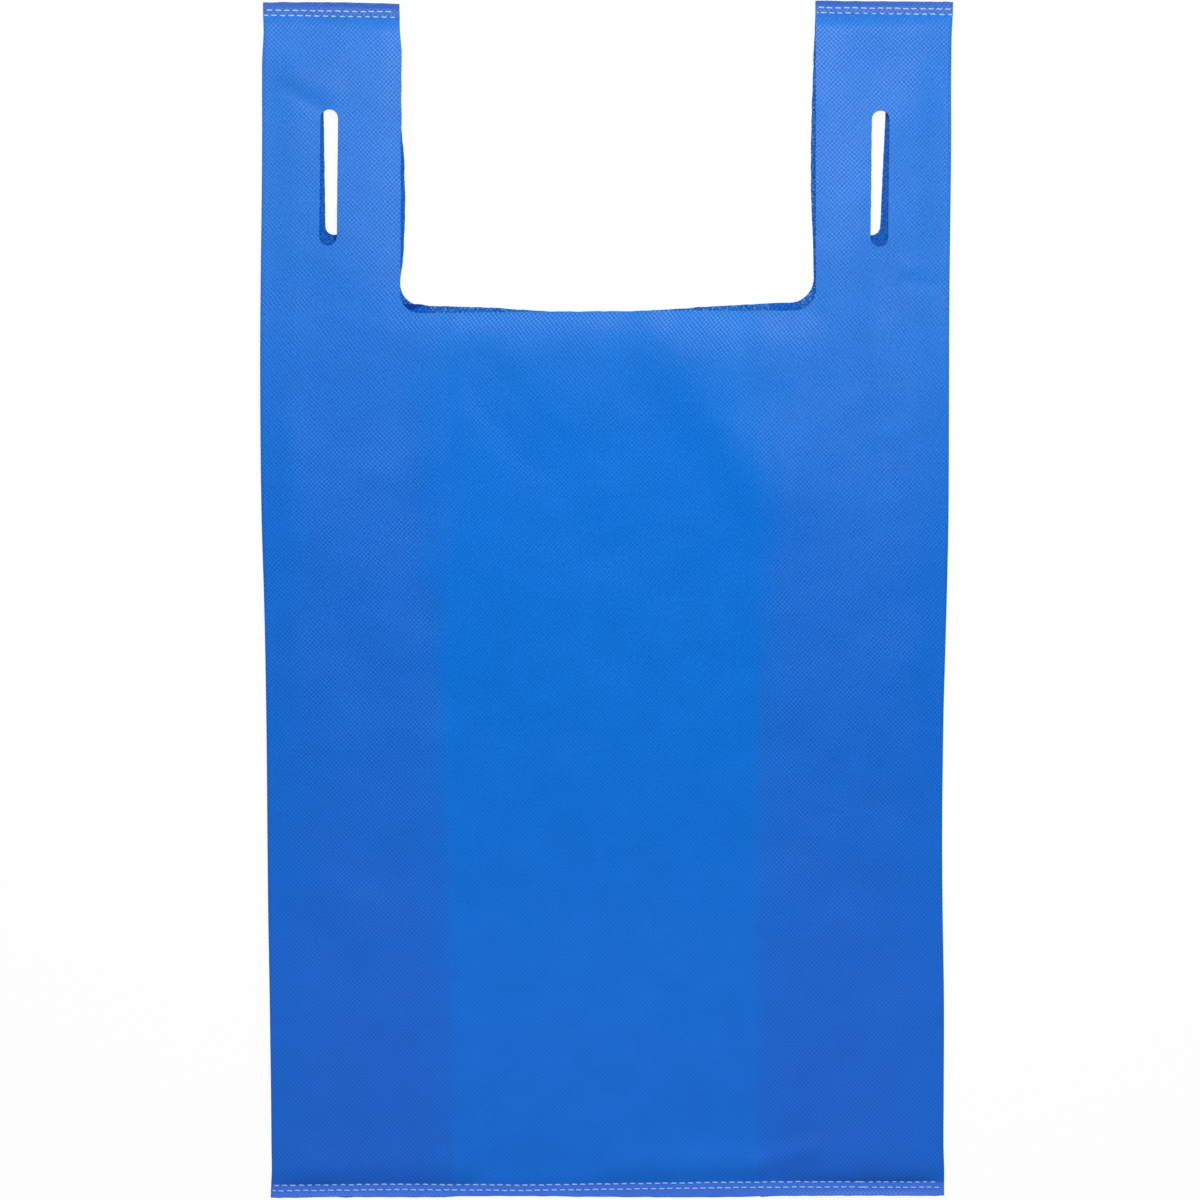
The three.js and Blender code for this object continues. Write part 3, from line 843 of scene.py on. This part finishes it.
def backed(x, height):
    """1 where the gusset lies under the front panel, less near its folds, and 0 over the middle: the mask of
    the painted shade over the gussets, lifted by painted light near the folds.

    The change is soft near the neck, where the front panel stands off the gusset.
    """
    soft = mix(*BACKED_SOFT, smoothstep(*BACKED_HEIGHTS, height))
    outwards = np.maximum(left_gusset(height) - x, x - right_gusset(height) + WELD)
    near_side = mix(NEAR_FOLD, 1, smoothstep(0, SIDE_WIDTH, from_side(x, height)))
    near_inner = mix(NEAR_FOLD, 1, smoothstep(0, INNER_WIDTH, outwards))
    return smoothstep(-soft, soft, outwards) * (near_side * near_inner)


# Materials

def nodes_of(name):
    material = bpy.data.materials.new(name)
    material.use_nodes = True
    tree = material.node_tree
    tree.nodes.clear()
    return material, tree


def node(tree, kind, inputs=None, **settings):
    """A new shader node with its settings, and its inputs linked or set."""
    made = tree.nodes.new("ShaderNode" + kind)
    for key, value in settings.items():
        setattr(made, key, value)
    for key, value in (inputs or {}).items():
        if isinstance(value, bpy.types.NodeSocket):
            tree.links.new(value, made.inputs[key])
        else:
            made.inputs[key].default_value = value
    return made


def math_node(tree, operation, *values):
    return node(tree, "Math", dict(enumerate(values)), operation=operation).outputs[0]


def times(tree, value, factor):
    return math_node(tree, "MULTIPLY", value, factor)


def cloth_material():
    material, tree = nodes_of("spunbond_cloth")
    flat = node(tree, "Attribute", attribute_name="flat_mm").outputs["Vector"]
    place = node(tree, "SeparateXYZ", {"Vector": flat}).outputs
    kept = node(tree, "Attribute", attribute_name="painted_light_masks").outputs["Vector"]
    state = node(tree, "SeparateXYZ", {"Vector": kept}).outputs
    crossing = bond_lattice(tree, flat)
    bond = ranged(tree, crossing, 0.0, BOND_FULL)
    raised = ranged(tree, crossing, 0.0, -BOND_FULL)
    fibres = noise(tree, flat, FIBRE_SCALE, 6.0)
    free = math_node(tree, "MAXIMUM", state["X"], ranged(tree, place["Y"], *PATTERN_HIGH))
    shown = pattern_strength(tree, flat, place["Y"], free)
    tone = cloth_tone(tree, place["X"], place["Y"], state)
    grained = with_grain(tree, tone, flat, place["Y"], fibres)
    fuzzed = with_fuzz(tree, grained, flat, place["Z"])
    dotted = tinted(tree, fuzzed, times(tree, bond, shown), (*DOT, 1))
    # painted highlight on the cloth standing up between the bond points
    raised_highlight = times(tree, times(tree, shown, RAISED_HIGHLIGHT_SHARE), raised)
    lit = tinted(tree, dotted, raised_highlight, (*RAISED_HIGHLIGHT, 1))
    glossy = ranged(tree, crossing, *GLOSS)
    lustre = times(tree, glossy, math_node(tree, "MULTIPLY_ADD", free, GLOSS_RISE, GLOSS_BASE))
    # the painted shade takes gloss away too
    lustre = times(tree, lustre, ranged(tree, state["Y"], *GLOSS_IN_SHADE))
    relief = math_node(tree, "MULTIPLY_ADD", fibres, 0.5, times(tree, bond, -0.5))
    bump = node(tree, "Bump", {"Height": relief, "Strength": 1.0, "Distance": CLOTH_BUMP * MM})
    shader = node(tree, "BsdfPrincipled", {"Base Color": lit, "Roughness": CLOTH_ROUGHNESS,
                                           "Normal": bump.outputs[0], "Specular IOR Level": lustre})
    node(tree, "OutputMaterial", {"Surface": shader.outputs[0]})
    return material


def pattern_strength(tree, flat, height, free):
    """How much of the embossed pattern shows: patchy, more where the cloth is free, less near the bottom."""
    patches = ranged(tree, noise(tree, flat, PATCH_SCALE, 3.0), *PATCHES)
    patches = times(tree, patches, ranged(tree, height, *PATTERN_LOW))
    return times(tree, math_node(tree, "MULTIPLY_ADD", free, PATTERN_RISE, PATTERN_BASE), patches)


def with_grain(tree, colour, flat, height, fibres):
    """Varies a colour from broad mottling down to single fibres."""
    mottled = varied(tree, colour, noise(tree, flat, MOTTLE_SCALE, 5.0), MOTTLE_SPREAD)
    uneven = ranged(tree, height, *GRAIN_SPREAD)
    grained = varied(tree, mottled, noise(tree, flat, GRAIN_SCALE, 3.0), uneven)
    return varied(tree, grained, fibres, FIBRE_SPREAD)


def cloth_tone(tree, girth, height, state):
    """The cloth's colour with painted light and shade: painted shade over the gussets and inside the folds,
    painted sheen towards the handles.

    The painted sheen is strongest on the right handle, and the hems get painted sheen and shade of their
    own.
    """
    low = ranged(tree, height, *LOW_COLOURS)
    # Painted shade over the gussets, where more layers lie under the front panel
    two = mixed(tree, low, (*TWO_LAYERS, 1), (*TWO_LAYERS_LOW, 1))
    four = mixed(tree, low, (*FOUR_LAYERS_PAINTED_SHADE, 1), (*FOUR_LAYERS_PAINTED_SHADE_LOW, 1))
    touching = ranged(tree, height, *TOUCHING, "LINEAR")
    layered = mixed(tree, times(tree, state["X"], touching), two, four)
    # Painted sheen towards the handles, coming lower on the right
    on_right = ranged(tree, girth, *SHEEN_RIGHT_GIRTH)
    start = math_node(tree, "MULTIPLY_ADD", state["X"], -SHEEN_SPREAD, SHEEN_FROM)
    end = math_node(tree, "MULTIPLY_ADD", state["X"], SHEEN_SPREAD, SHEEN_TO)
    shifted = math_node(tree, "MULTIPLY_ADD", on_right, SHEEN_SHIFT, height)
    sheen_tone = mixed(tree, state["X"], (*PAINTED_SHEEN_MIDDLE, 1), (*PAINTED_SHEEN, 1))
    tone = mixed(tree, ranged(tree, shifted, start, end), layered, sheen_tone)
    # Painted sheen and shade on the sewn strips
    sewn = mixed(tree, state["Z"], tone, mixed(tree, low, (*HEM_SHEEN_AND_SHADE, 1), (*HEM_LOW_SHEEN, 1)))
    # Painted shade inside the folds and under the front panel, as a tint by depth
    ramp = node(tree, "ValToRGB", {"Fac": state["Y"]})
    steps = ramp.color_ramp.elements
    for place, _ in SHADE_TINTS[1:-1]:
        steps.new(place)
    for step, (_, tint) in zip(steps, SHADE_TINTS):
        step.color = (*tint, 1)
    return tinted(tree, sewn, 1.0, ramp.outputs["Color"])


def bond_lattice(tree, flat):
    """The embossed pattern, between -2 and 2: highest at the bond points."""
    drift = node(tree, "TexNoise", {"Vector": flat, "Scale": DRIFT_SCALE, "Detail": 2.0})
    drawn = node(tree, "VectorMath", {0: drift.outputs["Color"], 1: (DRIFT, DRIFT, 0), 2: flat},
                 operation="MULTIPLY_ADD")
    split = node(tree, "SeparateXYZ", {"Vector": drawn.outputs[0]}).outputs
    across = times(tree, split["X"], 2 * math.pi / BOND_PITCH[0])
    along_bag = times(tree, split["Y"], 2 * math.pi / BOND_PITCH[1])
    one = math_node(tree, "COSINE", math_node(tree, "ADD", across, along_bag))
    other = math_node(tree, "COSINE", math_node(tree, "SUBTRACT", across, along_bag))
    return math_node(tree, "ADD", one, other)


def with_fuzz(tree, colour, flat, amount):
    """Adds the loose, hairy look of the cloth's inner face."""
    clumps = noise(tree, flat, CLUMP_SCALE, 4.0)
    light = times(tree, ranged(tree, clumps, *CLUMP_LIGHT), amount)
    dark = times(tree, ranged(tree, clumps, *CLUMP_DARK), amount)
    return tinted(tree, mixed(tree, light, colour, (*FUZZ, 1)), dark, (*FUZZ_SHADE, 1))


def noise(tree, place, scale, detail):
    made = node(tree, "TexNoise", {"Vector": place, "Scale": scale, "Detail": detail, "Roughness": 0.6})
    return made.outputs["Fac"]


def ranged(tree, value, low, high, to_low=0.0, to_high=1.0, kind="SMOOTHSTEP"):
    """A value taken from one range to another."""
    made = node(tree, "MapRange", {"Value": value, "From Min": low, "From Max": high,
                                   "To Min": to_low, "To Max": to_high}, interpolation_type=kind)
    return made.outputs["Result"]


def mixed(tree, factor, low, high):
    return node(tree, "Mix", {0: factor, 6: low, 7: high}, data_type="RGBA").outputs[2]


def varied(tree, colour, factor, spread):
    """A colour made darker and lighter by up to spread, after a noise."""
    swing = ranged(tree, factor, 0.3, 0.7, -1.0, 1.0, "LINEAR")
    return scaled(tree, colour, math_node(tree, "MULTIPLY_ADD", swing, spread, 1.0))


def scaled(tree, colour, gain):
    made = node(tree, "VectorMath", {0: colour, "Scale": gain}, operation="SCALE")
    return made.outputs[0]


def tinted(tree, colour, amount, tint):
    """A colour multiplied by a tint, as far as amount says."""
    made = node(tree, "Mix", {0: amount, 6: colour, 7: tint}, data_type="RGBA", blend_type="MULTIPLY")
    return made.outputs[2]


def thread_material():
    material, tree = nodes_of("white_sewing_thread")
    place = node(tree, "TexCoord").outputs["Object"]
    fibres = noise(tree, place, 4 / MM, 4.0)
    tone = ranged(tree, fibres, 0.0, 1.0, 0.85, 1.05, "LINEAR")
    base = node(tree, "RGB")
    base.outputs[0].default_value = (*THREAD, 1)
    bump = node(tree, "Bump", {"Height": fibres, "Strength": 0.4, "Distance": 0.05 * MM})
    shader = node(tree, "BsdfPrincipled", {"Base Color": scaled(tree, base.outputs[0], tone),
                                           "Roughness": 0.55, "Sheen Weight": 0.4,
                                           "Sheen Tint": (0.6, 0.8, 1, 1), "Normal": bump.outputs[0]})
    node(tree, "OutputMaterial", {"Surface": shader.outputs[0]})
    return material


# Stitching

def ply_tube(path, phase):
    """One ply of a thread: a tube that winds round a path."""
    path = np.asarray(path, float)
    heading = np.gradient(path, axis=0)
    heading /= np.linalg.norm(heading, axis=1, keepdims=True)
    side = np.cross(heading, (0, 0, 1.0))
    side /= np.maximum(np.linalg.norm(side, axis=1, keepdims=True), 1e-9)
    up = np.cross(side, heading)
    length = np.concatenate([[0], np.cumsum(np.linalg.norm(np.diff(path, axis=0), axis=1))])
    angle = 2 * math.pi * length / PLY_TURN + phase
    centre = path + PLY_OFFSET * (np.cos(angle)[:, None] * side + np.sin(angle)[:, None] * up)
    angles = np.arange(PLY_SIDES) * 2 * math.pi / PLY_SIDES
    rings = [centre + PLY_RADIUS * (math.cos(a) * side + math.sin(a) * up) for a in angles]
    return np.stack(rings, axis=1).reshape(-1, 3), tube_faces(len(path))


def tube_faces(rings):
    """The faces between rings of points, and the two ends."""
    faces = []
    for first in range(0, (rings - 1) * PLY_SIDES, PLY_SIDES):
        for i in range(PLY_SIDES):
            a, b = first + i, first + (i + 1) % PLY_SIDES
            faces.append((a, b, b + PLY_SIDES, a + PLY_SIDES))
    last = (rings - 1) * PLY_SIDES
    faces += [tuple(range(PLY_SIDES))[::-1], tuple(last + i for i in range(PLY_SIDES))]
    return faces


def stitch_path(start, end, height_at, surface, proud, sink, samples=15):
    """The middle of one stitch: out of the cloth, over it in an arch, and down into it again."""
    share = np.linspace(0, 1, samples)
    x = mix(start, end, share)
    arch = 1 - np.abs(2 * share - 1) ** STITCH_ARCH
    height = height_at(x)
    return np.column_stack([x, height, surface(x, height) + mix(-sink, proud, arch)])


def front_surface(x, height):
    return level(3, x, height) + CLOTH / 2


def back_surface(x, height):
    return level(0, x, height) - CLOTH / 2


def make_row(name, node_name, holes, height_at, material, seed):
    """One row of lockstitch: the needle thread in front and the bobbin thread behind."""
    draw = np.random.default_rng(seed)
    points, faces = [], []
    for surface, proud, sink in ((front_surface, STITCH_PROUD, STITCH_SINK),
                                 (back_surface, -BOBBIN_PROUD, -STITCH_SINK)):
        for start, end in zip(holes[:-1], holes[1:]):
            nudge = draw.uniform(-STITCH_NUDGE, STITCH_NUDGE, 2)
            path = stitch_path(start + HOLE + nudge[0], end - HOLE + nudge[0] * 0.5, height_at, surface,
                               proud, sink)
            path[:, 1] += nudge[1] * 0.8 - BAG_HEIGHT / 2
            spin = draw.uniform(0, 2 * math.pi)
            for ply in (0, math.pi):
                ply_points, ply_faces = ply_tube(path, spin + ply)
                faces += [tuple(i + len(points) for i in face) for face in ply_faces]
                points += ply_points.tolist()
    row = new_object(name, points, faces, material)
    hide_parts(node_name)
    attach(row, "root")
    return row


def row_along(keys, shift):
    """The height of a row of stitches as a function of x."""
    def height_at(x):
        return along(keys, x) + shift
    return height_at


def make_stitching(material):
    made = []
    for seed, (place, which, line, shift, runs) in enumerate(STITCH_ROWS, 1):
        holes = np.concatenate([start + pitch * np.arange(count) for start, pitch, count in runs])
        made.append(make_row(f"{place}_stitches_{which}", f"{place}_thread_{which}", holes,
                             row_along(line, shift), material, seed))
    return made


# Studio

def make_camera():
    width = FRAME_PIXELS * PIXEL
    data = bpy.data.cameras.new("photo_camera")
    data.sensor_width = SENSOR
    data.lens = SENSOR * CAMERA_HEIGHT / width
    data.clip_end = 20
    camera = bpy.data.objects.new("photo_camera", data)
    offset_x = (FRAME_PIXELS / 2 - BAG_CENTRE_PIXELS[0]) * PIXEL
    offset_y = (BAG_CENTRE_PIXELS[1] - FRAME_PIXELS / 2) * PIXEL
    camera.location = (offset_x * MM, offset_y * MM, CAMERA_HEIGHT * MM)
    bpy.context.scene.collection.objects.link(camera)
    bpy.context.scene.camera = camera


def camera_ray(tree):
    return node(tree, "LightPath").outputs["Is Camera Ray"]


def make_floor():
    material, tree = nodes_of("white_floor")
    plain = node(tree, "BsdfDiffuse", {"Color": (FLOOR_GREY, FLOOR_GREY, FLOOR_GREY, 1)})
    glow = node(tree, "Emission", {"Color": (1, 1, 1, 1), "Strength": 1.0})
    share = times(tree, camera_ray(tree), FLOOR_GLOW)
    both = node(tree, "MixShader", {0: share, 1: plain.outputs[0], 2: glow.outputs[0]})
    node(tree, "OutputMaterial", {"Surface": both.outputs[0]})
    corners = [(FLOOR_REACH * x, FLOOR_REACH * y, FLOOR) for x, y in ((-1, -1), (1, -1), (1, 1), (-1, 1))]
    floor = new_object("floor", corners, [(0, 1, 2, 3)], material, smooth=False)


def make_world():
    world = bpy.data.worlds.new("studio")
    world.use_nodes = True
    tree = world.node_tree
    tree.nodes.clear()
    light = node(tree, "Background", {"Color": (1, 1, 1, 1), "Strength": WORLD_LIGHT})
    seen = node(tree, "Background", {"Color": (1, 1, 1, 1), "Strength": 1.0})
    both = node(tree, "MixShader", {0: camera_ray(tree), 1: light.outputs[0], 2: seen.outputs[0]})
    node(tree, "OutputWorld", {"Surface": both.outputs[0]})
    bpy.context.scene.world = world


def make_key_lamp():
    """The one lamp, over the top of the bag and aimed at its middle."""
    data = bpy.data.lights.new("key", "AREA")
    data.size = KEY_SIZE * MM
    data.energy = KEY_WATTS
    lamp = bpy.data.objects.new("key", data)
    place = Vector([value * MM for value in KEY_PLACE])
    lamp.location = place
    lamp.rotation_euler = (-place).to_track_quat("-Z", "Y").to_euler()
    bpy.context.scene.collection.objects.link(lamp)


make_camera()
cloth = cloth_material()
bag = make_bag(cloth)
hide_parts("bag_body")
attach(bag, "root")
rows = make_stitching(thread_material())
make_floor()
make_world()
make_key_lamp()
bpy.context.scene.view_settings.view_transform = "Standard"
